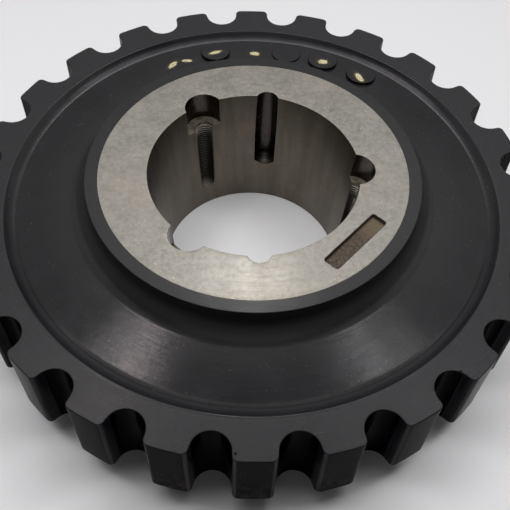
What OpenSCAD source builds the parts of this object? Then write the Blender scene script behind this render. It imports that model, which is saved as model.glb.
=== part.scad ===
// Flexible drive coupling element: a toothed rubber disc moulded and bonded
// onto a cast-iron hub with a tapered bush seat.
// Axis of rotation = Z, the hub stands on z = 0, lengths in millimetres.
// Angles are counted from +X towards +Y.

/* [Hub] */
// Outside diameter of the hub
hub_d = 185.4; // [180:0.2:190]
// Length of the hub along the shaft
hub_l = 88.9; // [84:0.1:96]
// Edge break on the two outer edges of the hub
hub_edge = 0.35; // [0.1:0.05:0.8]

/* [Tapered bush seat] */
// Diameter of the tapered bore at the upper, large end
seat_d = 127; // [124:0.1:130]
// Taper of the bore, per side, in degrees
seat_taper = 4; // [3:0.5:5]
// Distance of the half holes from the axis
half_hole_r = 61.1; // [60:0.1:62]

/* [Screw half holes] */
// Diameter of the counterbore for the screw head
cbore_d = 23.8; // [20:0.1:25]
// Depth of the counterbore
cbore_depth = 19.5; // [15:0.5:24]
// Major diameter of the screw thread
screw_d = 12.7; // [11:0.1:14]
// Depth of the full thread below the face
screw_depth = 72; // [60:0.5:76]
// First screw half hole
screw_a1 = 3.2; // [0:0.1:6]
// Second screw half hole
screw_a2 = 123; // [120:0.1:126]
// Third screw half hole
screw_a3 = 235; // [232:0.1:238]

/* [Plain half holes] */
// Diameter of the plain half holes that the jacking screws press into
plain_d = 14.1; // [12:0.1:15]
// Full depth of the plain half holes
plain_depth = 56; // [45:0.5:70]
// First plain half hole
plain_a1 = 83.5; // [80:0.1:88]
// Second plain half hole
plain_a2 = 274.5; // [270:0.1:280]
// Point angle of the drill that made the blind holes
drill_point = 118; // [100:1:135]

/* [Cast recess in the hub face] */
// Length of the recess
recess_l = 45.1; // [40:0.1:48]
// Width of the recess
recess_w = 9.9; // [8:0.1:11]
// Depth of the recess
recess_depth = 2.5; // [1:0.1:4]
// Corner radius of the recess
recess_r = 1.8; // [1:0.1:3]
// Distance of the recess centre from the axis
recess_at = 77.25; // [76:0.05:80]
// Angular place of the recess
recess_a = -40.9; // [-45:0.1:-36]

/* [Rubber band round the hub] */
// Outside diameter of the flush band
band_d = 200.4; // [198:0.2:204]
// Depth of the point where the straight wall of the band meets its fillet
band_wall = 6.4; // [5:0.1:8]
// Radius of the fillet between band and web
band_fillet = 12; // [10:0.5:13]

/* [Rubber web and ring] */
// Depth of the web below the hub face at its inner end
web_in = 18.4; // [17.6:0.1:19]
// Depth of the web below the hub face at its outer end
web_out = 20.83; // [20.5:0.01:21.1]
// Distance from the axis where the web meets the trough's curve
trough_r = 143.7; // [143:0.1:144.3]
// Distance from the axis where the trough's curve meets the flat ring
ring_r = 150.2; // [149.8:0.1:150.6]
// Radius of the trough's curve
trough_fillet = 13.5; // [12:0.5:16]
// Depth of the flat ring below the hub face
ring_drop = 17.2; // [16.4:0.1:18]
// Outside diameter over the teeth
outer_d = 347.8; // [344:0.2:352]
// Edge break on the outer edges of the teeth
tooth_edge = 0.6; // [0.2:0.1:1]

/* [Teeth] */
// Number of teeth
teeth = 24; // [20:1:26]
// Angular place of the first gap between two teeth
gap_a = -110.44; // [-120:0.01:-100]
// Distance of the round seat of each gap from the axis
gap_at = 169.93; // [168:0.01:171]
// Radius of the round seat of each gap
gap_r = 10.65; // [9:0.05:11.5]
// Outward flare of each flank in degrees
flare = 9; // [5:0.5:12]
// Radius of the tooth tips' corners
tip_r = 3.2; // [2:0.1:4]

/* [Round mould pads] */
// Diameter of the raised round pads on the web
pad_d = 20.6; // [18:0.1:21.5]
// Distance of the pads from the axis
pad_at = 131; // [129:0.1:131.4]
// Height of a proud pad above the web
pad_high = 2; // [1:0.1:3]
// Height of the shallow pad above the web
pad_low = 0.9; // [0.4:0.1:1]
// Angular place of the first proud pad
pad_a1 = 103.5; // [102:0.1:105]
// Angular place of the second proud pad
pad_a2 = 69.6; // [69:0.1:70.5]
// Angular place of the third proud pad
pad_a3 = 56.6; // [55:0.1:58]
// Angular place of the shallow pad
pad_a4 = 81.3; // [80.5:0.1:82]

/* [Hidden] */
$fn = 128;
hub_r = hub_d / 2;
mid = hub_l / 2;
seat_top_r = seat_d / 2;
tan_taper = tan(seat_taper);
band_r = band_d / 2;
outer_r = outer_d / 2;
web_slope = (web_out - web_in) / (trough_r - band_r - band_fillet);
// hardness-test dimple: a 10 mm ball pressed in until it is 4 mm wide
dimple_ball = 10;
dimple_up = sqrt(5 * 5 - 2 * 2);
// small amount by which neighbouring curves cross, so that no two of them
// only touch
cross = 0.05;
// centre of the trough's curve, which passes through both of its ends
chord_r = ring_r - trough_r;
chord_z = web_out - ring_drop;
chord = sqrt(chord_r * chord_r + chord_z * chord_z);
rise = sqrt(trough_fillet * trough_fillet - chord * chord / 4);
trough_cr = (ring_r + trough_r) / 2 - chord_z / chord * rise;
trough_cz = (web_out + ring_drop) / 2 - chord_r / chord * rise;

// Half of the rubber's section, from the mid plane upwards; x is the radius.
function half_section() = [
    [hub_r, mid],
    [band_r - 0.4, mid],
    [band_r, mid - 0.4],
    [band_r, mid - band_wall],
    [band_r + band_fillet, mid - web_in],
    [trough_r, mid - web_out],
    [ring_r, mid - ring_drop],
    [outer_r - tooth_edge, mid - ring_drop],
    [outer_r, mid - ring_drop - tooth_edge]
];

module rubber_section() {
    top = half_section();
    n = len(top);
    difference() {
        polygon(concat(top, [for (i = [n - 1 : -1 : 0]) [top[i][0], -top[i][1]]]));
        for (s = [-1, 1]) {
            translate([band_r + band_fillet, s * (mid - band_wall)])
                circle(r = band_fillet + cross);
            intersection() {
                translate([trough_cr, s * (mid - trough_cz)])
                    circle(r = trough_fillet);
                translate([trough_r, s * mid - (s < 0 ? 0 : 30)])
                    square([20, 30]);
            }
        }
    }
}

// Plan of one gap between two teeth, on the +X side: a round seat, a flared
// mouth, and the rounding of the two tooth corners beside it.
module gap_plan() {
    d = gap_r * cos(6);            // flank line, just inside the round seat
    far = outer_r + 8;
    // foot of the perpendicular from the seat's centre to the flank line
    x0 = gap_at - d * sin(flare);
    y0 = d * cos(flare);
    y_far = y0 + (far - x0) * tan(flare);
    translate([gap_at, 0]) circle(r = gap_r);
    polygon([[x0, -y0], [far, -y_far], [far, y_far], [x0, y0]]);
    for (s = [-1, 1]) mirror([0, s < 0 ? 1 : 0]) tip_corner(x0, y0);
}

// What is rounded off one corner: the corner block less a round bar whose
// centre lies a little under one tip radius from the flank and from the tip.
module tip_corner(x0, y0) {
    e = tip_r * cos(6);
    rc = outer_r - e;              // distance of the bar from the axis
    // centre: e from the flank line and rc from the axis
    nx = -sin(flare);
    ny = cos(flare);
    px = x0 + nx * e;
    py = y0 + ny * e;
    ux = cos(flare);
    uy = sin(flare);
    b = px * ux + py * uy;
    t = -b + sqrt(b * b - (px * px + py * py) + rc * rc);
    cx = px + ux * t;
    cy = py + uy * t;
    q = tip_r + 2;
    difference() {
        polygon([
            [cx, cy],
            [cx - nx * q, cy - ny * q],
            [cx - nx * q + ux * q * 1.4, cy - ny * q + uy * q * 1.4],
            [cx + cx / rc * q, cy + cy / rc * q]
        ]);
        translate([cx, cy]) circle(r = tip_r, $fn = 64);
    }
}

module rubber_element() {
    color([0.13, 0.13, 0.135])
    difference() {
        union() {
            translate([0, 0, mid]) rotate_extrude($fn = 240) rubber_section();
            for (a = [pad_a1, pad_a2, pad_a3]) pad(a, pad_high);
            pad(pad_a4, pad_low);
        }
        for (i = [0 : teeth - 1])
            rotate([0, 0, gap_a + i * 360 / teeth])
                translate([0, 0, -1]) linear_extrude(hub_l + 2) gap_plan();
    }
}

// A flat-topped round pad standing square on the sloping web.
module pad(a, h) {
    drop = web_in + web_slope * (pad_at - band_r - band_fillet);
    rotate([0, 0, a]) translate([pad_at, 0, hub_l - drop])
        rotate([0, atan(web_slope), 0]) translate([0, 0, -6])
            cylinder(d = pad_d, h = 6 + h, $fn = 96);
}

// Half hole for a cap screw: counterbore, threaded part, drill point.
module screw_half_hole() {
    translate([half_hole_r, 0, hub_l - cbore_depth])
        cylinder(d = cbore_d, h = cbore_depth + 1, $fn = 96);
    blind_hole(screw_d, screw_depth);
}

// Blind drilled hole of a given full depth with its drill point.
module blind_hole(d, depth) {
    point = d / 2 / tan(drill_point / 2);
    translate([half_hole_r, 0, hub_l - depth]) rotate([0, 0, 180])
        rotate_extrude($fn = 64) polygon([
            [0, -point], [d / 2, 0], [d / 2, depth + 1], [0, depth + 1]
        ]);
}

// Plan of the cast recess, long side along Y.
module recess_plan() {
    hx = recess_w / 2;
    hy = recess_l / 2;
    r = recess_r;
    polygon([
        [hx - r, -hy], [hx, -hy + r], [hx, hy - r], [hx - r, hy],
        [-hx + r, hy], [-hx, hy - r], [-hx, -hy + r], [-hx + r, -hy]
    ]);
    for (sx = [-1, 1], sy = [-1, 1])
        translate([sx * (hx - r), sy * (hy - r)]) circle(r = r + 0.02, $fn = 48);
}

module taper_hub() {
    color([0.56, 0.53, 0.49])
    difference() {
        rotate_extrude($fn = 240) polygon([
            [0, 0], [hub_r - hub_edge, 0], [hub_r, hub_edge],
            [hub_r, hub_l - hub_edge], [hub_r - hub_edge, hub_l], [0, hub_l]
        ]);
        // tapered seat, run past both faces
        translate([0, 0, -1]) cylinder(
            r1 = seat_top_r - (hub_l + 1) * tan_taper,
            r2 = seat_top_r + tan_taper,
            h = hub_l + 2, $fn = 240);
        for (a = [screw_a1, screw_a2, screw_a3]) rotate([0, 0, a]) screw_half_hole();
        for (a = [plain_a1, plain_a2]) rotate([0, 0, a]) blind_hole(plain_d, plain_depth);
        rotate([0, 0, recess_a]) translate([recess_at, 0, hub_l - recess_depth])
            linear_extrude(recess_depth + 1) recess_plan();
        // shallow hardness-test dimple in the machined face
        rotate([0, 0, 29.7]) translate([75.2, 0, hub_l + dimple_up])
            sphere(r = dimple_ball / 2, $fn = 96);
    }
}

rubber_element();
taper_hub();
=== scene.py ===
import bpy, bmesh, math
from mathutils import Vector, Matrix, noise


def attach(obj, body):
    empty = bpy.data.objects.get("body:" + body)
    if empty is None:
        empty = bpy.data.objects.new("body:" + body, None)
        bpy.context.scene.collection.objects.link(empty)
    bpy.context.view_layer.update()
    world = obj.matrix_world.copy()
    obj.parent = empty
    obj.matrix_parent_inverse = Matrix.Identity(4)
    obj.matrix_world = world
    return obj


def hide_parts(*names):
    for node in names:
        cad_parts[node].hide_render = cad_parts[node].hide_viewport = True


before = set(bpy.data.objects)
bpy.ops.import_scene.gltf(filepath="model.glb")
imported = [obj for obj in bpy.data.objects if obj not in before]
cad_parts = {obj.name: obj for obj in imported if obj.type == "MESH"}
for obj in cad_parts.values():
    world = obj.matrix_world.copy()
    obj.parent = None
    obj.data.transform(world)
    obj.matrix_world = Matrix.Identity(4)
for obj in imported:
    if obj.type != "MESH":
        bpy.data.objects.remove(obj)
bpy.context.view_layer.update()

MM = 0.001
TOP = 88.9                      # hub face above the floor, mm


def rad(a):
    return math.radians(a)


# ---------------------------------------------------------------- mesh helpers

def make_object(name, verts, faces):
    me = bpy.data.meshes.new(name)
    me.from_pydata([(x * MM, y * MM, z * MM) for x, y, z in verts], [], faces)
    me.validate()
    ob = bpy.data.objects.new(name, me)
    bpy.context.scene.collection.objects.link(ob)
    return ob


def recalc(ob):
    bm = bmesh.new()
    bm.from_mesh(ob.data)
    bmesh.ops.recalc_face_normals(bm, faces=bm.faces)
    bm.to_mesh(ob.data)
    bm.free()


def boolean(target, cutter, op="DIFFERENCE"):
    m = target.modifiers.new("b", "BOOLEAN")
    m.operation = op
    m.solver = "MANIFOLD"
    m.object = cutter
    bpy.context.view_layer.update()
    dg = bpy.context.evaluated_depsgraph_get()
    me = bpy.data.meshes.new_from_object(target.evaluated_get(dg))
    target.modifiers.clear()
    old = target.data
    target.data = me
    bpy.data.meshes.remove(old)
    old = cutter.data
    bpy.data.objects.remove(cutter)
    bpy.data.meshes.remove(old)


def finish_shading(ob, angle, crease=None):
    me = ob.data
    for p in me.polygons:
        p.use_smooth = True
    me.set_sharp_from_angle(angle=rad(angle))
    if crease:
        sharp = me.attributes["sharp_edge"].data
        on = [abs(math.hypot(w.co.x, w.co.y) - crease * MM) < 1e-5 for w in me.vertices]
        for e in me.edges:
            if on[e.vertices[0]] and on[e.vertices[1]]:
                sharp[e.index].value = True
    m = ob.modifiers.new("wn", "WEIGHTED_NORMAL")
    m.mode = "FACE_AREA"
    m.weight = 60
    m.keep_sharp = True
    bpy.context.view_layer.update()
    dg = bpy.context.evaluated_depsgraph_get()
    me2 = bpy.data.meshes.new_from_object(ob.evaluated_get(dg))
    ob.modifiers.clear()
    ob.data = me2
    bpy.data.meshes.remove(me)


def loops_to_mesh(loops, close_profile=False, cap_first=None, cap_last=None):
    """Quads between successive closed loops of equal length. A cap is a point."""
    n = len(loops[0])
    verts = [p for lp in loops for p in lp]
    faces = []
    pairs = list(zip(range(len(loops) - 1), range(1, len(loops))))
    if close_profile:
        pairs.append((len(loops) - 1, 0))
    for a, b in pairs:
        for i in range(n):
            j = (i + 1) % n
            faces.append((a * n + i, a * n + j, b * n + j, b * n + i))
    if cap_first is not None:
        verts.append(cap_first)
        k = len(verts) - 1
        for i in range(n):
            faces.append((k, (i + 1) % n, i))
    if cap_last is not None:
        verts.append(cap_last)
        k = len(verts) - 1
        o = (len(loops) - 1) * n
        for i in range(n):
            faces.append((k, o + i, o + (i + 1) % n))
    return verts, faces


def lathe(profile, seg, phase=0.0):
    """Closed turned solid from (r, z) pairs; the first and last lie on the axis."""
    loops = []
    for r, z in profile[1:-1]:
        loops.append([(r * math.cos(phase + 2 * math.pi * i / seg),
                       r * math.sin(phase + 2 * math.pi * i / seg), z)
                      for i in range(seg)])
    return loops_to_mesh(loops, cap_first=(0, 0, profile[0][1]),
                         cap_last=(0, 0, profile[-1][1]))


def place(verts, az, r, z=0.0, tilt=0.0):
    """Turn local points (x outwards) to their place at an angle round the axis."""
    ct, st = math.cos(tilt), math.sin(tilt)
    ca, sa = math.cos(az), math.sin(az)
    out = []
    for x, y, q in verts:
        x1 = x * ct + q * st
        z1 = -x * st + q * ct
        x2 = x1 + r
        out.append((x2 * ca - y * sa, x2 * sa + y * ca, z1 + z))
    return out


# ---------------------------------------------------------- rubber element

TEETH, GAP_A, GAP_AT, GAP_R = 24, -110.44, 169.93, 10.65
FLARE, TIP_R, OUT_R = rad(9), 3.2, 173.9
NS, NC, NT = 8, 5, 5            # intervals on seat, tooth corner, tooth tip


def half_gap(d):
    """Half of the outline from a gap's middle to a tooth's middle, moved inwards by d."""
    gr, tr, rt = GAP_R + d, TIP_R - d, OUT_R - d
    n = (-math.sin(FLARE), math.cos(FLARE))
    u = (math.cos(FLARE), math.sin(FLARE))
    pts = []
    for i in range(NS + 1):
        t = (math.pi / 2 - FLARE) * i / NS
        pts.append((GAP_AT - gr * math.cos(t), gr * math.sin(t)))
    p = (GAP_AT + n[0] * (gr + tr), n[1] * (gr + tr))
    rc = rt - tr
    b = p[0] * u[0] + p[1] * u[1]
    t = -b + math.sqrt(b * b - (p[0] ** 2 + p[1] ** 2) + rc * rc)
    c = (p[0] + u[0] * t, p[1] + u[1] * t)
    a0 = math.atan2(-n[1], -n[0])
    a1 = math.atan2(c[1], c[0])
    if a0 > a1:
        a0 -= 2 * math.pi
    for i in range(NC + 1):
        a = a0 + (a1 - a0) * i / NC
        pts.append((c[0] + tr * math.cos(a), c[1] + tr * math.sin(a)))
    th0 = math.atan2(pts[-1][1], pts[-1][0])
    th1 = math.pi / TEETH
    for i in range(1, NT + 1):
        a = th0 + (th1 - th0) * i / NT
        pts.append((rt * math.cos(a), rt * math.sin(a)))
    return pts


def outline(d):
    h = half_gap(d)
    polar = [(math.hypot(x, y), math.atan2(y, x)) for x, y in h]
    sector = polar[:-1] + [(r, 2 * math.pi / TEETH - a) for r, a in polar[:0:-1]]
    pts = []
    for k in range(TEETH):
        a0 = rad(GAP_A) + 2 * math.pi * k / TEETH
        for r, a in sector:
            pts.append((r * math.cos(a0 + a), r * math.sin(a0 + a)))
    return pts


BASE = outline(0.0)
ANG = [math.atan2(y, x) for x, y in BASE]


def circle(r):
    return [(r * math.cos(a), r * math.sin(a)) for a in ANG]


def fillet(pa, corner, pb, r, n):
    """Round a corner of the section: points on the arc of radius r."""
    ax, ay = pa[0] - corner[0], pa[1] - corner[1]
    bx, by = pb[0] - corner[0], pb[1] - corner[1]
    la, lb = math.hypot(ax, ay), math.hypot(bx, by)
    ax, ay, bx, by = ax / la, ay / la, bx / lb, by / lb
    ang = math.acos(max(-1, min(1, ax * bx + ay * by)))
    t = r / math.tan(ang / 2)
    s = (corner[0] + ax * t, corner[1] + ay * t)
    e = (corner[0] + bx * t, corner[1] + by * t)
    mx, my = ax + bx, ay + by
    lm = math.hypot(mx, my)
    h = r / math.sin(ang / 2)
    c = (corner[0] + mx / lm * h, corner[1] + my / lm * h)
    s0 = math.atan2(s[1] - c[1], s[0] - c[0])
    e0 = math.atan2(e[1] - c[1], e[0] - c[0])
    while e0 - s0 > math.pi:
        e0 -= 2 * math.pi
    while e0 - s0 < -math.pi:
        e0 += 2 * math.pi
    return [(c[0] + r * math.cos(s0 + (e0 - s0) * i / n),
             c[1] + r * math.sin(s0 + (e0 - s0) * i / n)) for i in range(n + 1)]


WEB_SLOPE = (20.83 - 18.4) / (143.7 - 112.2)


def rubber_side(nf, nw, nt, ne):
    """Half section as loops from the band's inner edge to the tooth wall; (plan, drop)."""
    slope = WEB_SLOPE
    out = [(circle(92.7), 0.0), (circle(96.0), 0.0)]
    for r, d in fillet((96, 0), (100.2, 0), (100.2, 6), 0.45, ne):
        out.append((circle(r), d))
    # concave curve under the band
    amax = math.atan2(1, slope)
    for i in range(nf + 1):
        a = amax * i / nf
        out.append((circle(112.2 - 12 * math.cos(a)), 6.4 + 12 * math.sin(a)))
    r0 = 112.2 - 12 * math.cos(amax)
    d0 = 6.4 + 12 * math.sin(amax)
    for i in range(1, nw):
        r = r0 + (143.7 - r0) * i / nw
        out.append((circle(r), d0 + slope * (r - r0)))
    # trough curve through both of its ends, with a crease where it starts
    tr = 13.5
    dr, dz = 150.2 - 143.7, 20.83 - 17.2
    half = math.hypot(dr, dz) / 2
    rise = math.sqrt(tr * tr - half * half)
    cr, cd = 143.7 + dr / 2 - dz / (2 * half) * rise, 17.2 + dz / 2 - dr / (2 * half) * rise
    b0, b1 = math.asin((143.7 - cr) / tr), math.asin((150.2 - cr) / tr)
    # stop a little short of the corner, then round it
    e = 1.0
    b2 = b1 - math.atan(e * math.tan(b1 / 2) / tr)
    for i in range(nt + 1):
        b = b0 + (b2 - b0) * i / nt
        out.append((circle(cr + tr * math.sin(b)), cd + tr * math.cos(b)))
    p0 = (cr + tr * math.sin(b2), cd + tr * math.cos(b2))
    for r, d in fillet(p0, (150.2, 17.2), (153.2, 17.2), e, ne)[1:]:
        out.append((circle(r), d))
    te = 0.6
    for i in range(ne + 1):
        a = math.pi / 2 * i / ne
        out.append((outline(te * (1 - math.sin(a))), 17.2 + te * (1 - math.cos(a))))
    return out


upper = rubber_side(13, 4, 11, 4)
lower = rubber_side(8, 2, 7, 3)
loops = [[(x, y, TOP - d) for x, y in plan] for plan, d in upper]
loops += [[(x, y, d) for x, y in plan] for plan, d in reversed(lower)]
v, f = loops_to_mesh(loops, close_profile=True)
rubber = make_object("rubber_disc", v, f)
recalc(rubber)


def pad_solid(az, at, height, dia, edge=0.45, seg=72):
    r = dia / 2
    prof = [(0, height), (r * 0.5, height)]
    prof += fillet((0, height), (r, height), (r, -5), edge, 3)
    prof += [(r, -5), (0, -5)]
    v, f = lathe(prof, seg)
    drop = 18.4 + WEB_SLOPE * (at - 112.2)
    return place(v, rad(az), at, TOP - drop, math.atan(WEB_SLOPE)), f


for az, hgt in ((103.5, 2.0), (69.6, 2.0), (56.6, 2.0), (81.3, 0.9)):
    v, f = pad_solid(az, 131.0, hgt, 20.5)
    c = make_object("cut", v, f)
    recalc(c)
    boolean(rubber, c, "UNION")


def pit(x, y, z, rx, ry, rz, seed):
    """A small irregular hollow, cut into the surface."""
    seg, rows = 14, 8
    lp = []
    for j in range(1, rows):
        t = math.pi * j / rows
        lp.append([((rx * math.sin(t) * math.cos(2 * math.pi * i / seg)),
                    (ry * math.sin(t) * math.sin(2 * math.pi * i / seg)),
                    (rz * math.cos(t))) for i in range(seg)])
    v, f = loops_to_mesh(lp, cap_first=(0, 0, rz), cap_last=(0, 0, -rz))
    out = []
    for a, b, c in v:
        k = 1 + 0.28 * noise.noise(Vector((a * 1.1 + seed, b * 1.1, c * 1.1)))
        out.append((x + a * k, y + b * k, z + c * k))
    o = make_object("cut", out, f)
    recalc(o)
    return o


RING_Z = TOP - 17.2
boolean(rubber, pit(-3.7, -170.0, RING_Z, 0.85, 0.85, 0.8, 1.0))
boolean(rubber, pit(119.7, -88.3, RING_Z - 0.3, 0.9, 0.6, 0.6, 4.0))
boolean(rubber, pit(112.5, -120.6, RING_Z - 0.1, 0.9, 0.7, 0.6, 7.0))
boolean(rubber, pit(173.9 * math.cos(rad(-73.4)), 173.9 * math.sin(rad(-73.4)), 27.0,
                    2.2, 0.7, 1.0, 9.0))
finish_shading(rubber, 35, 143.7)

# ---------------------------------------------------------------- iron hub

SEG = 720
TAN4 = math.tan(rad(4))


def bore_r(z):
    return 63.5 - (TOP - z) * TAN4


def hub_blank():
    e = 0.3
    prof = [(92.7, e), (92.7, TOP - 0.35)]
    prof += [(92.7 - 0.35 * (1 - math.cos(a)), TOP - 0.35 + 0.35 * math.sin(a))
             for a in (rad(30), rad(60), rad(90))]
    prof += [(90, TOP), (84, TOP), (78, TOP), (72, TOP), (67, TOP)]
    prof += [(bore_r(TOP) + e, TOP), (bore_r(TOP) + 0.09, TOP - 0.09),
             (bore_r(TOP - e), TOP - e)]
    for i in range(1, 12):
        z = TOP - e + (2 * e - TOP) * i / 12
        prof.append((bore_r(z), z))
    prof += [(bore_r(e), e), (bore_r(0) + 0.09, 0.09), (bore_r(0) + e, 0.0),
             (92.7 - e, 0.0)]
    loops = [[(r * math.cos(2 * math.pi * i / SEG), r * math.sin(2 * math.pi * i / SEG), z)
              for i in range(SEG)] for r, z in prof]
    return loops_to_mesh(loops, close_profile=True)


v, f = hub_blank()
hub = make_object("hub_body", v, f)
recalc(hub)

PITCH, R_MAJ, R_MIN = 1.954, 6.35, 5.40


def thread_r(phase):
    """Radius of a 60 degree thread's wall at a phase of 0..1 along one pitch."""
    p = phase % 1.0
    if p < 0.125:
        return R_MIN
    if p < 0.4375:
        return R_MIN + (R_MAJ - R_MIN) * (p - 0.125) / 0.3125
    if p < 0.5625:
        return R_MAJ
    if p < 0.875:
        return R_MAJ - (R_MAJ - R_MIN) * (p - 0.5625) / 0.3125
    return R_MIN


def screw_cutter(az):
    seg = 72
    rows = [(lambda a, r=r: r, d) for r, d in
            [(12.2, -1.0), (12.2, 0.0), (11.97, 0.1), (11.9, 0.3), (11.9, 5), (11.9, 10),
             (11.9, 15), (11.9, 19.0), (11.78, 19.35), (11.4, 19.5), (9.0, 19.5),
             (6.95, 19.5)]]
    n = 250
    d0, d1 = 19.95, 70.2

    def wall(a, d):
        amp = min(1.0, max(0.0, (d1 - d) / (1.5 * PITCH)))
        lead = max(0.0, 6.9 - (d - 19.55) * 1.1)
        r = thread_r(d / PITCH - a / (2 * math.pi))
        return max(R_MIN + (r - R_MIN) * amp, min(lead, 6.9))

    for i in range(n + 1):
        d = d0 + (d1 - d0) * i / n
        rows.append((lambda a, d=d: wall(a, d), d))
    tip = 5.35 / math.tan(rad(59))
    rows += [(lambda a: 5.35, 71.9), (lambda a: 5.2, 72.02), (lambda a: 2.6, 72 + tip * 0.5),
             (lambda a: 0.4, 72 + tip * 0.93)]
    lp = []
    for fn, d in rows:
        lp.append([(fn(2 * math.pi * i / seg) * math.cos(2 * math.pi * i / seg),
                    fn(2 * math.pi * i / seg) * math.sin(2 * math.pi * i / seg), -d)
                   for i in range(seg)])
    v, f = loops_to_mesh(lp, cap_first=(0, 0, 1.0), cap_last=(0, 0, -(72 + tip * 0.97)))
    return place(v, rad(az), 61.1, TOP), f


def plain_cutter(az):
    tip = 7.05 / math.tan(rad(59))
    prof = [(0, 1.0), (7.35, 1.0), (7.35, 0.0), (7.12, -0.1), (7.05, -0.3)]
    prof += [(7.05, -5.0 * k) for k in range(1, 12)]
    prof += [(7.05, -55.8), (6.9, -56.02), (3.5, -56 - tip * 0.5), (0.5, -56 - tip * 0.93),
             (0, -56 - tip * 0.97)]
    v, f = lathe(prof, 96)
    return place(v, rad(az), 61.1, TOP), f


def recess_cutter():
    """Cast recess: rounded plan, drafted walls, uneven floor."""
    hx, hy, rr, n = 4.95, 22.55, 1.8, 10
    base = []
    for sx, sy, a0 in ((1, 1, 0), (-1, 1, 90), (-1, -1, 180), (1, -1, 270)):
        for i in range(n + 1):
            a = rad(a0 + 90 * i / n)
            base.append((sx * (hx - rr) + rr * math.cos(a), sy * (hy - rr) + rr * math.sin(a),
                         math.cos(a), math.sin(a)))
    ring = []
    for i, p in enumerate(base):
        q = base[(i + 1) % len(base)]
        d = math.hypot(q[0] - p[0], q[1] - p[1])
        k = max(1, int(d / 0.8))
        for j in range(k):
            t = j / k
            ring.append(tuple(p[m] + (q[m] - p[m]) * t for m in range(4)))

    def off(d, ragged=0.0):
        out = []
        for x, y, nx, ny in ring:
            e = d + ragged * noise.noise(Vector((x * 0.55, y * 0.55, 3.1)))
            out.append((x + nx * e, y + ny * e))
        return out

    lp = [[(x, y, 1.0) for x, y in off(0.3, 0.25)],
          [(x, y, 0.0) for x, y in off(0.25, 0.25)],
          [(x, y, -0.12) for x, y in off(0.08, 0.18)],
          [(x, y, -0.45) for x, y in off(-0.02, 0.12)],
          [(x, y, -1.1) for x, y in off(-0.12, 0.15)],
          [(x, y, -1.8) for x, y in off(-0.25, 0.12)],
          [(x, y, -2.2) for x, y in off(-0.5, 0.12)],
          [(x, y, -2.4) for x, y in off(-0.95, 0.1)]]
    edge = off(-0.95, 0.1)
    for s in range(1, 9):
        t = 1 - s / 8
        row = []
        for x, y in edge:
            my = max(-(hy - hx), min(hy - hx, y))
            px, py = x * t, my + (y - my) * t
            z = -2.38 + 0.26 * noise.noise(Vector((px * 0.5, py * 0.5, 0.7))) \
                + 0.12 * noise.noise(Vector((px * 1.3, py * 1.3, 5.2)))
            row.append((px, py, max(-2.48, z)))
        lp.append(row)
    n = len(ring)
    v, f = loops_to_mesh(lp)
    f.append(tuple(range(n)))
    v = place(v, rad(-40.9), 77.25, TOP)
    o = make_object("cut", v, f)
    bm = bmesh.new()
    bm.from_mesh(o.data)
    bmesh.ops.remove_doubles(bm, verts=bm.verts, dist=1e-6)
    bmesh.ops.dissolve_degenerate(bm, edges=bm.edges, dist=1e-7)
    bmesh.ops.triangulate(bm, faces=[q for q in bm.faces if len(q.verts) > 4])
    bmesh.ops.recalc_face_normals(bm, faces=bm.faces)
    bm.to_mesh(o.data)
    bm.free()
    return o


for az in (3.2, 123.0, 235.0):
    v, f = screw_cutter(az)
    c = make_object("cut", v, f)
    recalc(c)
    boolean(hub, c)
for az in (83.5, 274.5):
    v, f = plain_cutter(az)
    c = make_object("cut", v, f)
    recalc(c)
    boolean(hub, c)
boolean(hub, recess_cutter())
# shallow hardness-test dimple with its slightly sunk rim
dx, dy = 75.2 * math.cos(rad(29.7)), 75.2 * math.sin(rad(29.7))
ball = [(0, 1.0), (2.12, 1.0), (2.12, 0.0), (2.04, -0.03)]
ball += [(q, 4.583 - math.sqrt(25 - q * q)) for q in (1.9, 1.6, 1.2, 0.8, 0.4, 0.1)]
v, f = lathe(ball + [(0, 4.583 - 5)], 48)
c = make_object("cut", [(x + dx, y + dy, z + TOP) for x, y, z in v], f)
recalc(c)
boolean(hub, c)
finish_shading(hub, 28)

for ob, slot, node in ((rubber, "rubber", "rubber_element"), (hub, "hub_iron", "taper_hub")):
    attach(ob, "root")
    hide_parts(node)

# ---------------------------------------------------------------- materials


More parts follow.
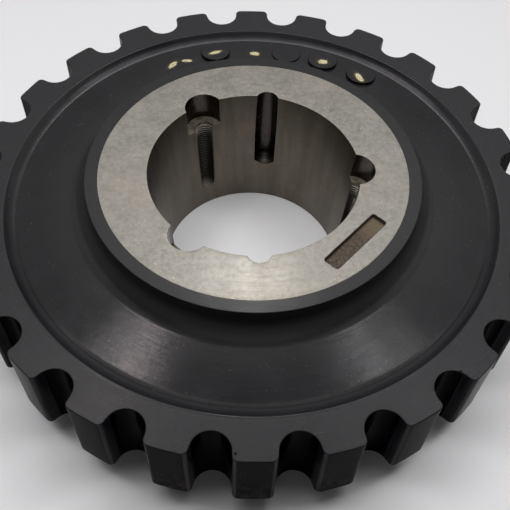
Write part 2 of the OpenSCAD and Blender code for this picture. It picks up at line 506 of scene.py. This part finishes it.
class Nodes:
    """Short-hand for building a node tree."""

    def __init__(self, name):
        self.mat = bpy.data.materials.new(name)
        self.mat.use_nodes = True
        self.t = self.mat.node_tree
        self.t.nodes.clear()
        self.out = self.t.nodes.new("ShaderNodeOutputMaterial")
        self.bsdf = self.t.nodes.new("ShaderNodeBsdfPrincipled")
        self.t.links.new(self.bsdf.outputs[0], self.out.inputs[0])
        tc = self.t.nodes.new("ShaderNodeTexCoord")
        self.pos = tc.outputs["Object"]
        self.normal = tc.outputs["Normal"]
        s = self.t.nodes.new("ShaderNodeSeparateXYZ")
        self.link(self.pos, s.inputs[0])
        self.x, self.y, self.z = s.outputs
        s = self.t.nodes.new("ShaderNodeSeparateXYZ")
        self.link(self.normal, s.inputs[0])
        self.nx, self.ny, self.nz = s.outputs
        self.r = self.math("SQRT", self.math("ADD", self.math("MULTIPLY", self.x, self.x),
                                             self.math("MULTIPLY", self.y, self.y)))

    def link(self, a, b):
        self.t.links.new(a, b)

    def put(self, value, socket):
        if isinstance(value, bpy.types.NodeSocket):
            self.link(value, socket)
        else:
            socket.default_value = value

    def math(self, op, a, b=0.0, c=None, clamp=False):
        n = self.t.nodes.new("ShaderNodeMath")
        n.operation = op
        n.use_clamp = clamp
        self.put(a, n.inputs[0])
        self.put(b, n.inputs[1])
        if c is not None:
            self.put(c, n.inputs[2])
        return n.outputs[0]

    def mul(self, a, b, clamp=False):
        return self.math("MULTIPLY", a, b, clamp=clamp)

    def add(self, a, b, clamp=False):
        return self.math("ADD", a, b, clamp=clamp)

    def sub(self, a, b, clamp=False):
        return self.math("SUBTRACT", a, b, clamp=clamp)

    def step(self, value, lo, hi, out_lo=0.0, out_hi=1.0, smooth=True):
        n = self.t.nodes.new("ShaderNodeMapRange")
        n.interpolation_type = "SMOOTHSTEP" if smooth else "LINEAR"
        n.clamp = True
        self.put(value, n.inputs["Value"])
        n.inputs["From Min"].default_value = lo
        n.inputs["From Max"].default_value = hi
        n.inputs["To Min"].default_value = out_lo
        n.inputs["To Max"].default_value = out_hi
        return n.outputs["Result"]

    def vec(self, x, y, z):
        n = self.t.nodes.new("ShaderNodeCombineXYZ")
        for v, s in zip((x, y, z), n.inputs):
            self.put(v, s)
        return n.outputs[0]

    def scaled(self, sx, sy, sz, vec=None):
        n = self.t.nodes.new("ShaderNodeVectorMath")
        n.operation = "MULTIPLY"
        self.put(vec or self.pos, n.inputs[0])
        n.inputs[1].default_value = (sx, sy, sz)
        return n.outputs[0]

    def noise(self, scale, detail=3.0, rough=0.55, vec=None, distort=0.0):
        n = self.t.nodes.new("ShaderNodeTexNoise")
        self.put(vec or self.pos, n.inputs["Vector"])
        n.inputs["Scale"].default_value = scale
        n.inputs["Detail"].default_value = detail
        n.inputs["Roughness"].default_value = rough
        n.inputs["Distortion"].default_value = distort
        return n.outputs["Fac"]

    def rings(self, fine, along, detail=3.0, rough=0.6):
        """Noise drawn out into circles round the axis, without a seam."""
        v = self.vec(self.mul(self.r, fine), self.mul(self.x, along), self.mul(self.y, along))
        return self.noise(1.0, detail, rough, vec=v)

    def mix(self, fac, a, b, mode="MIX"):
        n = self.t.nodes.new("ShaderNodeMix")
        n.data_type = "RGBA"
        n.blend_type = mode
        n.clamp_factor = True
        self.put(fac, n.inputs[0])
        self.put(a if not isinstance(a, tuple) else a + (1.0,), n.inputs[6])
        self.put(b if not isinstance(b, tuple) else b + (1.0,), n.inputs[7])
        return n.outputs[2]

    def blob(self, x, y, sx, sy, az=0.0, wob=None):
        """Distance from a spot on the upper side, 1 at its rim; sizes in mm."""
        n = self.t.nodes.new("ShaderNodeMapping")
        n.vector_type = "TEXTURE"
        self.put(self.vec(self.x, self.y, 0.0), n.inputs["Vector"])
        n.inputs["Location"].default_value = (x * MM, y * MM, 0)
        n.inputs["Rotation"].default_value = (0, 0, az)
        n.inputs["Scale"].default_value = (sx * MM, sy * MM, 1)
        ln = self.t.nodes.new("ShaderNodeVectorMath")
        ln.operation = "LENGTH"
        self.put(n.outputs[0], ln.inputs[0])
        d = ln.outputs["Value"]
        return self.add(d, wob) if wob is not None else d

    def bump(self, height, strength, distance, normal=None):
        n = self.t.nodes.new("ShaderNodeBump")
        n.inputs["Strength"].default_value = strength
        n.inputs["Distance"].default_value = distance
        self.put(height, n.inputs["Height"])
        if normal is not None:
            self.link(normal, n.inputs["Normal"])
        return n.outputs[0]

    def use(self, socket, value):
        self.put(value if not isinstance(value, tuple) else value + (1.0,),
                 self.bsdf.inputs[socket])


def rubber_material(name, specular, dark=None):
    """dark: the two streaked tones of a wall; without them it is an upper or lower side"""
    m = Nodes(name)
    wall = dark is not None
    up = m.step(m.nz, 0.25, 0.9)
    side = m.sub(1.0, m.step(m.math("ABSOLUTE", m.nz), 0.1, 0.6))
    big = m.noise(9.0, 4.0, 0.6)
    mid = m.noise(45.0, 5.0, 0.6)
    fine = m.noise(420.0, 4.0, 0.65)
    grain = m.noise(1900.0, 2.0, 0.6)
    streak = m.rings(2600.0, 16.0, 3.0, 0.62)
    broad = m.rings(420.0, 9.0, 3.0, 0.6)
    # vertical drag lines on the walls of the teeth
    drag = m.noise(1.0, 3.0, 0.6, vec=m.vec(m.mul(m.x, 900.0), m.mul(m.y, 900.0),
                                            m.mul(m.z, 35.0)))
    on_top = m.step(m.z, 0.060, 0.066)
    web = m.mul(m.mul(m.step(m.r, 0.104, 0.112), m.sub(1.0, m.step(m.r, 0.1475, 0.1490))),
                on_top)
    ring = m.mul(m.step(m.r, 0.1488, 0.1502), m.mul(up, on_top))
    # black compound with a faint grey dust film on what faces up; the upward faces are also painted
    # lighter than the sides, as painted light from above
    dust_film_and_top_light = m.mul(up, m.step(m.add(m.mul(big, 0.5), m.mul(mid, 0.5)), 0.32, 0.68, 0.45, 1.0))
    dust_film_and_top_light = m.mul(dust_film_and_top_light, m.step(streak, 0.3, 0.7, 0.82, 1.0))
    low = (0.0048, 0.0045, 0.0050)
    if wall:
        low = m.mix(m.step(drag, 0.3, 0.65), *dark)
    col = m.mix(dust_film_and_top_light, low, (0.0150, 0.0141, 0.0159))
    # more dust on the band and where the web leaves it
    col = m.mix(m.mul(m.mul(up, on_top), m.step(m.r, 0.102, 0.136, 0.60, 0.0)), col,
                (0.0240, 0.0232, 0.0240))
    # the ring is a little lighter than the web
    col = m.mix(m.mul(ring, 0.7), col, (0.0225, 0.0218, 0.0236))
    # painted light: the near part of the trough is lightened where it lies in shade
    trough = m.mul(m.mul(m.step(m.r, 0.1425, 0.1440), m.step(m.r, 0.1486, 0.1494, 1.0, 0.0)),
                   m.mul(m.step(m.y, -0.120, -0.080, 1.0, 0.0), on_top))
    col = m.mix(m.mul(trough, 0.4), col, (0.0270, 0.0262, 0.0285))
    # a painted highlight in its far part: a pale band thinning out towards the ring
    far_trough_highlight = m.mul(m.step(m.r, 0.1434, 0.1440), m.step(m.r, 0.1440, 0.1484, 1.0, 0.0))
    far_trough_highlight = m.mul(m.mul(far_trough_highlight, m.step(m.y, 0.030, 0.105)), on_top)
    col = m.mix(m.mul(far_trough_highlight, m.step(mid, 0.3, 0.6, 0.7, 0.95)), col, (0.060, 0.0575, 0.063))
    # painted shade: a faint dark line where the trough starts, on its near side
    line = m.mul(m.step(m.r, 0.1430, 0.1437), m.step(m.r, 0.1440, 0.1450, 1.0, 0.0))
    line = m.mul(m.mul(line, on_top), m.step(m.y, -0.06, 0.02, 1.0, 0.0))
    col = m.mix(m.mul(line, 0.8), col, (0.0030, 0.0028, 0.0031))
    # brown blotches on the tips, more of them towards the lower edge
    outer = m.step(m.r, 0.1700, 0.1736)
    blotch = m.step(m.add(m.mul(m.noise(130.0, 4.0, 0.65), 0.7), m.mul(drag, 0.3)), 0.40, 0.66)
    low_part = m.step(m.z, 0.018, 0.050, 1.0, 0.25)
    haze = m.mul(m.mul(side, outer), m.mul(blotch, low_part))
    col = m.mix(m.mul(haze, 0.8), col, (0.034, 0.027, 0.022))
    # the rounded corners of the teeth are rubbed grey and also painted lighter as a highlight
    out = m.math("DIVIDE", m.add(m.mul(m.nx, m.x), m.mul(m.ny, m.y)), m.r)
    corner = m.mul(m.step(out, 0.30, 0.62), m.step(out, 0.90, 0.985, 1.0, 0.0))
    corner = m.mul(m.mul(corner, side), m.mul(outer, m.step(drag, 0.25, 0.6, 0.45, 1.0)))
    col = m.mix(m.mul(corner, 0.75), col, (0.082, 0.079, 0.076))
    # painted light: the shaded corner under the band is lightened
    nook = m.mul(m.step(m.r, 0.1015, 0.1060, 1.0, 0.0), m.step(m.z, 0.0875, 0.0885, 1.0, 0.0))
    col = m.mix(m.mul(m.mul(nook, on_top), 0.8), col, (0.034, 0.032, 0.034))
    # dust specks
    speck = m.step(m.noise(900.0, 1.0, 0.5), 0.735, 0.77)
    col = m.mix(m.mul(m.mul(speck, up), 0.35), col, (0.16, 0.155, 0.145))
    # cream paint dabs on the web and the pads
    wob = m.mul(m.sub(m.noise(900.0, 3.0, 0.6), 0.5), 1.5)
    dabs = None
    for r, a, sx, sy, tw in ((127.9, 117.9, 1.9, 4.2, 0.5), (128.2, 113.0, 1.5, 3.4, -0.35),
                             (129.4, 103.6, 1.6, 4.4, 0.2), (128.6, 91.1, 2.0, 3.2, -0.2),
                             (128.6, 69.2, 2.4, 3.3, 0.4), (126.9, 56.2, 2.1, 4.6, -0.6)):
        x, y = r * math.cos(rad(a)), r * math.sin(rad(a))
        d = m.blob(x, y, sx, sy, rad(a) + tw, wob)
        dabs = d if dabs is None else m.math("MINIMUM", dabs, d)
    paint = m.mul(m.sub(1.0, m.step(dabs, 0.85, 1.15)), on_top)
    thin = m.step(m.noise(700.0, 3.0, 0.6), 0.30, 0.55, 0.35, 1.0)
    smear = m.mul(m.mul(m.step(dabs, 1.2, 2.4, 1.0, 0.0), on_top), m.step(fine, 0.35, 0.6))
    col = m.mix(m.mul(smear, 0.45), col, (0.060, 0.052, 0.024))
    col = m.mix(m.mul(paint, thin), col, (0.62, 0.56, 0.33))
    m.use("Base Color", col)
    rough = m.add(m.step(mid, 0.3, 0.7, 0.10, 0.15), m.mul(m.sub(streak, 0.5), 0.12))
    rough = m.add(rough, m.mul(m.mul(ring, m.step(m.r, 0.1512, 0.1520)), 0.16))
    # duller in the shade under the band and along the near part of the trough
    under = m.mul(m.step(m.r, 0.1035, 0.1065, 1.0, 0.0), m.step(m.z, 0.0880, 0.0885, 1.0, 0.0))
    dull = m.mul(m.mul(m.step(m.r, 0.1405, 0.1430), m.step(m.r, 0.146, 0.149, 1.0, 0.0)),
                 m.step(m.y, -0.125, -0.085, 1.0, 0.0))
    # and a little in its far part
    far = m.mul(m.mul(m.step(m.r, 0.1425, 0.1437), m.step(m.r, 0.1475, 0.1490, 1.0, 0.0)),
                m.mul(m.step(m.y, 0.060, 0.110), on_top))
    rough = m.add(rough, m.mul(far, 0.12))
    rough = m.add(rough, m.step(m.r, 0.1000, 0.1012, 0.06, 0.0))
    rough = m.add(rough, m.mul(m.mul(m.math("MAXIMUM", under, dull), on_top), 0.30))
    rough = m.add(rough, m.mul(side, 0.04 if wall else 0.1))
    rough = m.add(rough, m.mul(paint, 0.2), clamp=True)
    m.use("Roughness", rough)
    m.bsdf.inputs["Specular IOR Level"].default_value = specular
    h = m.add(m.mul(grain, 0.25), m.mul(fine, 0.6))
    b = m.bump(h, 0.35, 0.00006)
    b = m.bump(m.add(streak, m.mul(broad, 0.8)), 0.30, 0.00010, b)
    b = m.bump(mid, 0.13, 0.0009, b)
    b = m.bump(m.mul(side, drag), 0.30, 0.00012, b)
    b = m.bump(paint, 0.5, 0.00012, b)
    m.link(b, m.bsdf.inputs["Normal"])
    return m.mat


def iron_material():
    m = Nodes("machined_iron")
    dent = m.blob(75.2 * math.cos(rad(29.7)), 75.2 * math.sin(rad(29.7)), 2.3, 2.3)
    dent = m.mul(m.step(dent, 0.98, 1.0, 1.0, 0.0), m.step(m.z, 0.0880, 0.0883))
    face = m.math("MAXIMUM", m.mul(m.step(m.nz, 0.85, 0.97), m.step(m.z, 0.08870, 0.08885)), dent)
    low_face = m.mul(m.step(m.nz, -0.97, -0.85, 1.0, 0.0), m.step(m.z, 0.0001, 0.0003, 1.0, 0.0))
    wall_r = m.sub(0.0635, m.mul(m.sub(0.0889, m.z), TAN4))
    in_hole = m.mul(m.step(m.sub(m.r, wall_r), 0.00015, 0.0005), m.step(m.z, 0.0883, 0.0887, 1.0, 0.0))
    in_hole = m.mul(in_hole, m.step(m.r, 0.0745, 0.0755, 1.0, 0.0))
    in_hole = m.mul(in_hole, m.step(m.z, 0.0060, 0.0080))
    bore = m.mul(m.sub(1.0, m.step(m.sub(m.r, wall_r), 0.0001, 0.0003)),
                 m.sub(1.0, m.math("MAXIMUM", face, low_face)))
    rec = m.t.nodes.new("ShaderNodeMapping")
    rec.vector_type = "TEXTURE"
    m.put(m.pos, rec.inputs["Vector"])
    ra = rad(-40.9)
    rec.inputs["Location"].default_value = (77.25 * MM * math.cos(ra), 77.25 * MM * math.sin(ra), 0)
    rec.inputs["Rotation"].default_value = (0, 0, ra)
    sp = m.t.nodes.new("ShaderNodeSeparateXYZ")
    m.link(rec.outputs[0], sp.inputs[0])
    recess = m.mul(m.step(m.math("ABSOLUTE", sp.outputs[0]), 0.0056, 0.0058, 1.0, 0.0),
                   m.step(m.math("ABSOLUTE", sp.outputs[1]), 0.0232, 0.0234, 1.0, 0.0))
    recess = m.mul(recess, m.step(m.z, 0.0884, 0.08885, 1.0, 0.0))
    recess = m.mul(recess, m.step(m.z, 0.0800, 0.0820))

    big = m.noise(14.0, 4.0, 0.6)
    mid = m.noise(70.0, 5.0, 0.62)
    fine = m.noise(650.0, 4.0, 0.7)
    grain = m.noise(2600.0, 2.0, 0.6)
    turn = m.rings(1400.0, 30.0, 1.0, 0.5)
    turn_broad = m.rings(500.0, 16.0, 1.0, 0.5)
    # feed marks of the boring tool run round the bore, with faint upright stains
    feed = m.noise(1.0, 2.0, 0.6, vec=m.vec(m.mul(m.z, 5200.0), m.mul(m.x, 50.0),
                                            m.mul(m.y, 50.0)))
    stain = m.noise(1.0, 4.0, 0.6, vec=m.vec(m.mul(m.x, 130.0), m.mul(m.y, 130.0),
                                             m.mul(m.z, 14.0)))
    # face: light warm grey, speckled, with pale brown patches
    col = m.mix(m.step(mid, 0.3, 0.7), (0.355, 0.336, 0.298), (0.430, 0.413, 0.373))
    col = m.mix(m.mul(m.step(fine, 0.38, 0.62, 1.0, 0.0), 0.60), col, (0.290, 0.270, 0.230))
    flake = m.noise(330.0, 3.0, 0.65)
    col = m.mix(m.mul(m.step(flake, 0.38, 0.62), 0.32), col, (0.58, 0.56, 0.51))
    brown = m.step(m.add(m.mul(big, 0.6), m.mul(mid, 0.4)), 0.40, 0.72)
    col = m.mix(m.mul(brown, 0.30), col, (0.43, 0.34, 0.245))
    # a rubbed dark spot and a short scratch
    spot = m.step(m.blob(48.3, 53.2, 2.4, 1.5, 0.7, m.mul(m.sub(fine, 0.5), 1.6)), 0.6, 1.2, 1.0, 0.0)
    scr = m.step(m.blob(85.5, 7.95, 2.9, 0.22, 0.06), 0.7, 1.2, 1.0, 0.0)
    col = m.mix(m.mul(m.math("MAXIMUM", m.mul(spot, 0.35), m.mul(scr, 0.5)), face), col,
                (0.170, 0.155, 0.130))
    # bore wall: darker, brownish grey
    wall = m.mix(m.step(stain, 0.3, 0.7), (0.140, 0.123, 0.100), (0.188, 0.169, 0.140))
    worn = m.step(m.add(m.mul(fine, 0.5), m.mul(feed, 0.5)), 0.36, 0.60, 1.0, 0.0)
    wall = m.mix(m.mul(worn, 0.35), wall, (0.105, 0.090, 0.072))
    wall = m.mix(m.mul(m.step(mid, 0.5, 0.75), 0.35), wall, (0.30, 0.22, 0.14))
    col = m.mix(bore, col, wall)
    # drilled and threaded half holes: darker still, brown at the floor of the counterbore
    hole = m.mix(m.step(fine, 0.3, 0.7), (0.046, 0.040, 0.037), (0.088, 0.077, 0.071))
    screw = None
    for a in (3.2, 123.0, 235.0):
        d = m.blob(61.1 * math.cos(rad(a)), 61.1 * math.sin(rad(a)), 7.3, 7.3)
        screw = d if screw is None else m.math("MINIMUM", screw, d)
    plain = None
    for a in (83.5, 274.5):
        d = m.blob(61.1 * math.cos(rad(a)), 61.1 * math.sin(rad(a)), 7.05, 7.05)
        plain = d if plain is None else m.math("MINIMUM", plain, d)
    thread = m.mul(m.mul(m.step(screw, 0.98, 1.0, 1.0, 0.0), in_hole),
                   m.step(m.z, 0.0697, 0.0699, 1.0, 0.0))
    # painted highlight: the crests are painted bright, most of all near the top, fading into painted
    # shade further down
    crest = m.mul(thread, m.step(screw, 0.76, 0.82, 1.0, 0.0))
    # the threaded part is painted near black, as painted shade in its grooves
    hole = m.mix(thread, hole, (0.018, 0.015, 0.014))
    hole = m.mix(m.mul(crest, m.step(m.z, 0.058, 0.068, 0.14, 1.0)), hole, (0.60, 0.57, 0.52))
    # paler grey at the drill points, most near their axis
    tip = m.math("MAXIMUM", m.mul(thread, m.step(m.z, 0.0162, 0.0169, 1.0, 0.0)),
                 m.mul(m.mul(in_hole, m.sub(1.0, thread)), m.step(m.z, 0.0320, 0.0329, 1.0, 0.0)))
    near_axis = m.math("MINIMUM", m.mul(screw, 7.3 / 7.05), plain)
    tip = m.mul(m.mul(tip, in_hole), m.step(near_axis, 0.15, 0.75, 1.0, 0.15))
    hole = m.mix(m.mul(tip, m.step(mid, 0.35, 0.65, 0.6, 1.0)), hole, (0.40, 0.355, 0.30))
    shelf = m.mul(m.mul(m.step(m.nz, 0.5, 0.9), m.step(m.z, 0.0660, 0.0685)),
                  m.step(m.z, 0.0700, 0.0725, 1.0, 0.0))
    hole = m.mix(shelf, hole, m.mix(m.step(m.noise(300.0, 3.0, 0.6), 0.4, 0.6),
                                    (0.14, 0.115, 0.085), (0.27, 0.235, 0.195)))
    col = m.mix(in_hole, col, hole)
    # cast floor of the recess
    floor_c = m.mix(m.step(m.noise(600.0, 4.0, 0.7), 0.35, 0.66), (0.055, 0.040, 0.029),
                    (0.140, 0.107, 0.077))
    # smoother and paler towards one end, with painted shade round the edge under the walls
    floor_c = m.mix(m.mul(m.step(sp.outputs[1], 0.002, 0.016), 0.5), floor_c,
                    (0.205, 0.158, 0.102))
    rim = m.math("MAXIMUM", m.step(m.math("ABSOLUTE", sp.outputs[0]), 0.0034, 0.0048),
                 m.step(m.math("ABSOLUTE", sp.outputs[1]), 0.0208, 0.0222))
    floor_c = m.mix(m.mul(rim, 0.75), floor_c, (0.020, 0.014, 0.010))
    col = m.mix(recess, col, floor_c)
    m.use("Base Color", col)
    metal = m.sub(m.sub(0.92, m.mul(face, 0.30)), m.mul(recess, 0.7))
    metal = m.sub(metal, m.mul(m.math("MAXIMUM", shelf, thread), 0.45))
    metal = m.sub(metal, m.mul(tip, 0.2))
    metal = m.sub(metal, m.mul(m.mul(brown, face), 0.12), clamp=True)
    m.use("Metallic", metal)
    rough = m.add(m.step(mid, 0.3, 0.7, 0.20, 0.27), m.mul(m.sub(turn, 0.5), 0.10))
    rough = m.add(rough, m.mul(bore, 0.14))
    rough = m.add(rough, m.mul(dent, 0.12))
    rough = m.add(rough, m.mul(recess, 0.3))
    rough = m.add(rough, m.mul(shelf, 0.2), clamp=True)
    m.use("Roughness", rough)
    h = m.add(m.mul(turn, 0.4), m.mul(turn_broad, 0.5))
    b = m.bump(m.mul(face, h), 0.16, 0.00006)
    b = m.bump(m.mul(bore, feed), 0.45, 0.00006, b)
    b = m.bump(m.add(m.mul(fine, 0.7), m.mul(grain, 0.2)), 0.12, 0.00007, b)
    b = m.bump(m.mul(recess, m.noise(900.0, 4.0, 0.7)), 0.8, 0.0004, b)
    m.link(b, m.bsdf.inputs["Normal"])
    return m.mat


def floor_material():
    m = Nodes("pale_floor")
    n = m.noise(3.0, 3.0, 0.5)
    m.use("Base Color", m.mix(n, (0.765, 0.760, 0.770), (0.800, 0.797, 0.803)))
    m.use("Roughness", m.step(n, 0.3, 0.7, 0.45, 0.55))
    m.bsdf.inputs["Specular IOR Level"].default_value = 0.3
    return m.mat


rubber.data.materials.clear()
# three copies of one rubber whose tones differ with the way their faces look; the tips copy has the
# darkest tones, as painted shade on the outer faces of the teeth
rubber.data.materials.append(rubber_material("moulded_rubber_top", 0.6))
rubber.data.materials.append(rubber_material("moulded_rubber_walls", 0.03,
                                             ((0.0075, 0.0068, 0.0092), (0.0140, 0.0128, 0.0165))))
rubber.data.materials.append(rubber_material("moulded_rubber_tips", 0.006,
                                             ((0.0014, 0.0012, 0.0013), (0.0034, 0.0030, 0.0034))))
for p in rubber.data.polygons:
    c, n = p.center, p.normal
    r = math.hypot(c.x, c.y)
    p.material_index = 0
    if r > 0.1500 and abs(n.z) < 0.75:
        p.material_index = 2 if (n.x * c.x + n.y * c.y) / r > 0.35 else 1
    elif 0.118 < r < 0.1435 and c.z > 0.060 and abs(n.z) < 0.80:
        p.material_index = 1
hub.data.materials.clear()
hub.data.materials.append(iron_material())

# ---------------------------------------------------------------- stage

me = bpy.data.meshes.new("floor")
s = 4.0
me.from_pydata([(-s, -s, 0), (s, -s, 0), (s, s, 0), (-s, s, 0)], [], [(0, 1, 2, 3)])
floor = bpy.data.objects.new("floor", me)
bpy.context.scene.collection.objects.link(floor)
floor.location.z = -0.0002
me.materials.append(floor_material())

world = bpy.data.worlds.new("studio")
bpy.context.scene.world = world
world.use_nodes = True
wt = world.node_tree
wt.nodes.clear()
wo = wt.nodes.new("ShaderNodeOutputWorld")
bg = wt.nodes.new("ShaderNodeBackground")
wt.links.new(bg.outputs[0], wo.inputs[0])
geo = wt.nodes.new("ShaderNodeTexCoord")


def world_patch(azimuth, elevation, spread, strength):
    """A soft bright patch of the room round one direction."""
    a, e = rad(azimuth), rad(elevation)
    dot = wt.nodes.new("ShaderNodeVectorMath")
    dot.operation = "DOT_PRODUCT"
    wt.links.new(geo.outputs["Generated"], dot.inputs[0])
    dot.inputs[1].default_value = (math.sin(a) * math.cos(e), math.cos(a) * math.cos(e),
                                   math.sin(e))
    n = wt.nodes.new("ShaderNodeMapRange")
    n.interpolation_type = "SMOOTHSTEP"
    n.inputs["From Min"].default_value = math.cos(rad(spread))
    n.inputs["From Max"].default_value = math.cos(rad(spread * 0.55))
    n.inputs["To Max"].default_value = strength
    wt.links.new(dot.outputs["Value"], n.inputs["Value"])
    return n.outputs[0]


def world_add(one, two):
    n = wt.nodes.new("ShaderNodeMath")
    n.operation = "ADD"
    wt.links.new(one, n.inputs[0])
    if isinstance(two, float):
        n.inputs[1].default_value = two
    else:
        wt.links.new(two, n.inputs[1])
    return n.outputs[0]


# a dim room that is brighter behind the object than in front of it
room = world_add(world_patch(0, 50, 33, 0.16), 0.03)
for az, el, spread, strength in ((60, 50, 32, 0.24), (-60, 50, 32, 0.19), (0, 20, 38, 0.11),
                                 (-3, 60, 14, 0.32), (16, 51, 10, 0.34), (-15, 53, 10, 0.24),
                                 (65, 22, 36, 0.13), (-65, 22, 36, 0.10),
                                 (180, 50, 34, 0.13)):
    room = world_add(room, world_patch(az, el, spread, strength))
wt.links.new(room, bg.inputs["Strength"])
bg.inputs["Color"].default_value = (0.97, 0.985, 1.0, 1.0)


def lamp(name, loc, target, size, power, colour, glossy=True):
    ld = bpy.data.lights.new(name, "AREA")
    ld.shape = "RECTANGLE"
    ld.size, ld.size_y = size
    ld.energy = power
    ld.color = colour
    lo = bpy.data.objects.new(name, ld)
    lo.location = loc
    d = Vector(target) - Vector(loc)
    lo.rotation_euler = d.to_track_quat("-Z", "Y").to_euler()
    lo.visible_glossy = glossy
    bpy.context.scene.collection.objects.link(lo)


# small lamps at the back, seen as highlights on the web and the hub face
lamp("spot_left", (-0.365, 0.345, 1.40), (0, 0, 0), (0.08, 0.08), 0.30, (1.0, 0.87, 0.88))
lamp("spot_left_wide", (-0.43, 0.42, 1.40), (0, 0, 0), (0.16, 0.12), 0.13, (1.0, 0.95, 0.95))
lamp("spot_right", (0.385, 0.385, 1.40), (0, 0, 0), (0.09, 0.09), 0.13, (1.0, 0.985, 1.0))
lamp("spot_right_wide", (0.50, 0.43, 1.40), (0, 0, 0), (0.20, 0.16), 0.12, (1.0, 0.985, 1.0))
lamp("lamp_back", (0.00, 0.79, 1.40), (0, 0, 0), (0.18, 0.18), 0.34, (1.0, 0.985, 0.965))
lamp("lamp_back_high", (0.00, 0.68, 1.40), (0, 0, 0), (0.14, 0.14), 0.10, (1.0, 0.985, 0.965))
lamp("back_left", (-0.33, 0.41, 1.40), (0, 0, 0), (0.40, 0.40), 1.25, (1.0, 0.985, 0.97), False)
lamp("back_right", (0.42, 0.44, 1.40), (0, 0, 0), (0.40, 0.40), 0.60, (1.0, 0.985, 0.98), False)
# wide lamps at both sides and overhead light the bench
lamp("side_left", (-0.65, 0.05, 1.40), (0, 0, 0), (0.32, 0.32), 3.6, (1.0, 0.99, 1.0), False)
lamp("side_left_low", (-0.90, 0.32, 1.20), (0, 0, 0), (0.40, 0.40), 2.4, (1.0, 0.99, 1.0), False)
lamp("side_left_front", (-0.55, -0.29, 1.40), (0, 0, 0), (0.30, 0.30), 0.9, (1.0, 0.99, 1.0), False)
lamp("side_right", (0.60, 0.13, 1.40), (0, 0, 0), (0.40, 0.40), 2.7, (1.0, 0.99, 1.0), False)
lamp("side_right_high", (0.80, 0.29, 1.31), (0, 0, 0), (0.30, 0.30), 3.2, (1.0, 0.99, 1.0), False)
lamp("side_right_low", (0.90, 0.38, 1.20), (0, 0, 0), (0.40, 0.40), 0.9, (1.0, 0.99, 1.0), False)
lamp("overhead", (0.0, -0.05, 1.00), (0, -0.05, 0), (0.60, 0.20), 2.7, (1.0, 0.99, 1.0), False)

# camera
p, yw, ro = rad(54.21), rad(0.55), rad(-2.62)
fwd = Vector((math.sin(yw) * math.cos(p), math.cos(yw) * math.cos(p), -math.sin(p)))
right = Vector((math.cos(yw), -math.sin(yw), 0))
down = fwd.cross(right)
r2 = math.cos(ro) * right + math.sin(ro) * down
d2 = -math.sin(ro) * right + math.cos(ro) * down
cam_data = bpy.data.cameras.new("camera")
cam_data.sensor_fit = "HORIZONTAL"
cam_data.sensor_width = 36.0
cam_data.lens = 772.0 / 510.0 * 36.0
cam_data.clip_start = 0.01
cam = bpy.data.objects.new("camera", cam_data)
rot = Matrix((r2, -d2, -fwd)).transposed()
cam.matrix_world = Matrix.Translation((0, -0.3106, 0.4325)) @ rot.to_4x4()
bpy.context.scene.collection.objects.link(cam)
bpy.context.scene.camera = cam

vs = bpy.context.scene.view_settings
vs.view_transform = "Standard"
vs.look = "None"
vs.use_curve_mapping = True
vs.curve_mapping.black_level = (0.001, 0.001, 0.001)
vs.curve_mapping.update()

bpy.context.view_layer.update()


def plain(b):
    return [[float(q) for q in corner] for corner in b]
